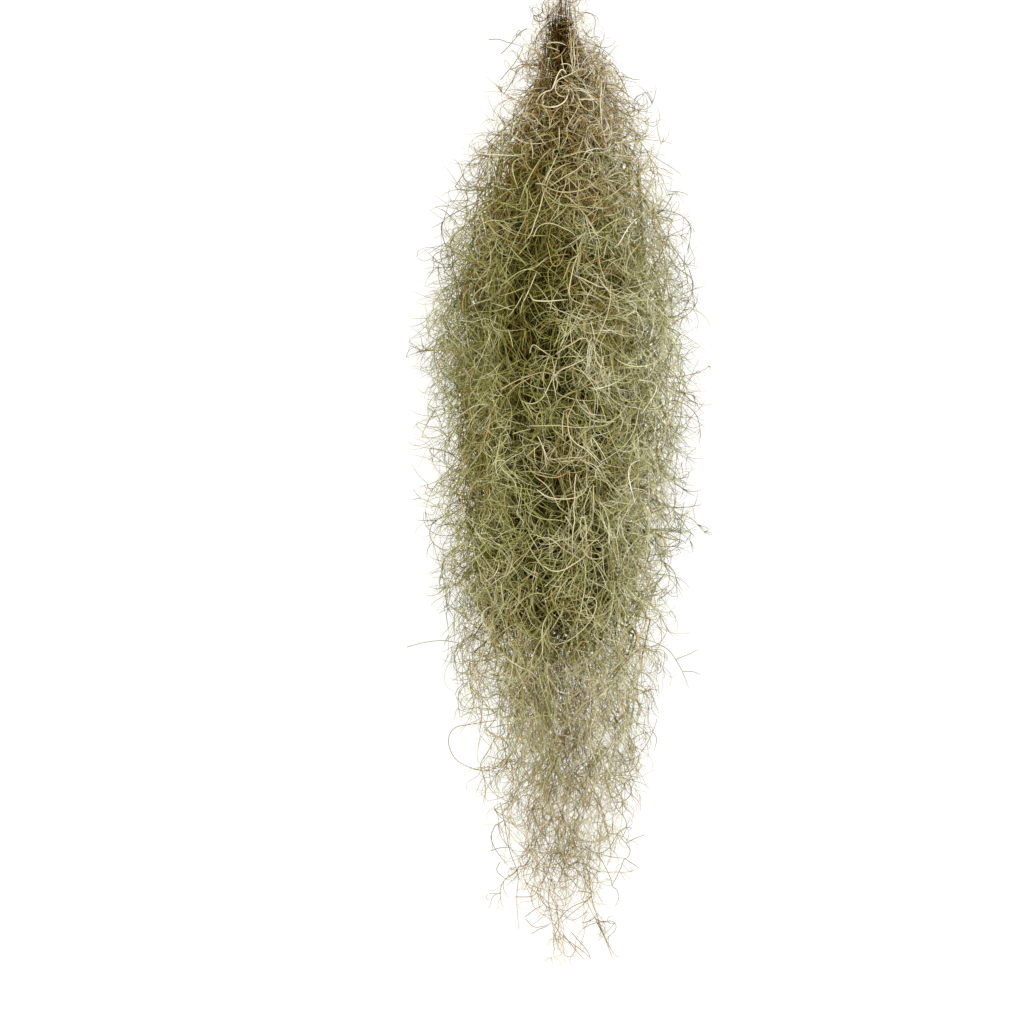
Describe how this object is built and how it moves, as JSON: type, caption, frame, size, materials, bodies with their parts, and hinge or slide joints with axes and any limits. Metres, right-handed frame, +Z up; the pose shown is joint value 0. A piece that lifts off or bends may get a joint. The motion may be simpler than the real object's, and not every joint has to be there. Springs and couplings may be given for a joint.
{
  "type": "spanish moss bunch",
  "caption": "Bunch of grey-green Spanish moss lying flat: tangled wiry strands in long festoons, gathered in a narrow neck at one end and thinning to a wispy tail at the other.",
  "frame": {"origin": "middle of the bunch's footprint, on the surface that it lies on", "axes": "+Y from the tail towards the neck, along the bunch; +X across it; +Z up from the surface"},
  "size_m": [0.278, 0.993, 0.1365],
  "materials": {
    "living_moss": "living strands: matt grey-green to straw, dusted with fine silvery scales, from olive inside the bunch to pale beige at the tips",
    "dry_stem": "old strands: dull dark brown, wiry, with the bark of the dry stem showing"
  },
  "bodies": {
    "root": {"core_festoon": "dry_stem", "inner_festoon_1": "living_moss", "inner_festoon_2": "living_moss", "inner_festoon_3": "living_moss", "inner_festoon_4": "living_moss", "inner_festoon_5": "living_moss", "inner_festoon_6": "living_moss", "middle_festoon_1": "living_moss", "middle_festoon_2": "living_moss", "middle_festoon_3": "living_moss", "middle_festoon_4": "living_moss", "middle_festoon_5": "living_moss", "middle_festoon_6": "living_moss", "middle_festoon_7": "living_moss", "middle_festoon_8": "living_moss", "middle_festoon_9": "living_moss", "middle_festoon_10": "living_moss", "middle_festoon_11": "living_moss", "middle_festoon_12": "living_moss", "outer_festoon_1": "living_moss", "outer_festoon_2": "living_moss", "outer_festoon_3": "living_moss", "outer_festoon_4": "living_moss", "outer_festoon_5": "living_moss", "outer_festoon_6": "living_moss", "outer_festoon_7": "living_moss", "outer_festoon_8": "living_moss", "outer_festoon_9": "living_moss", "outer_festoon_10": "living_moss", "outer_festoon_11": "living_moss", "outer_festoon_12": "living_moss", "outer_festoon_13": "living_moss", "outer_festoon_14": "living_moss", "outer_festoon_15": "living_moss", "outer_festoon_16": "living_moss", "outer_festoon_17": "living_moss", "outer_festoon_18": "living_moss"}
  },
  "joints": []
}
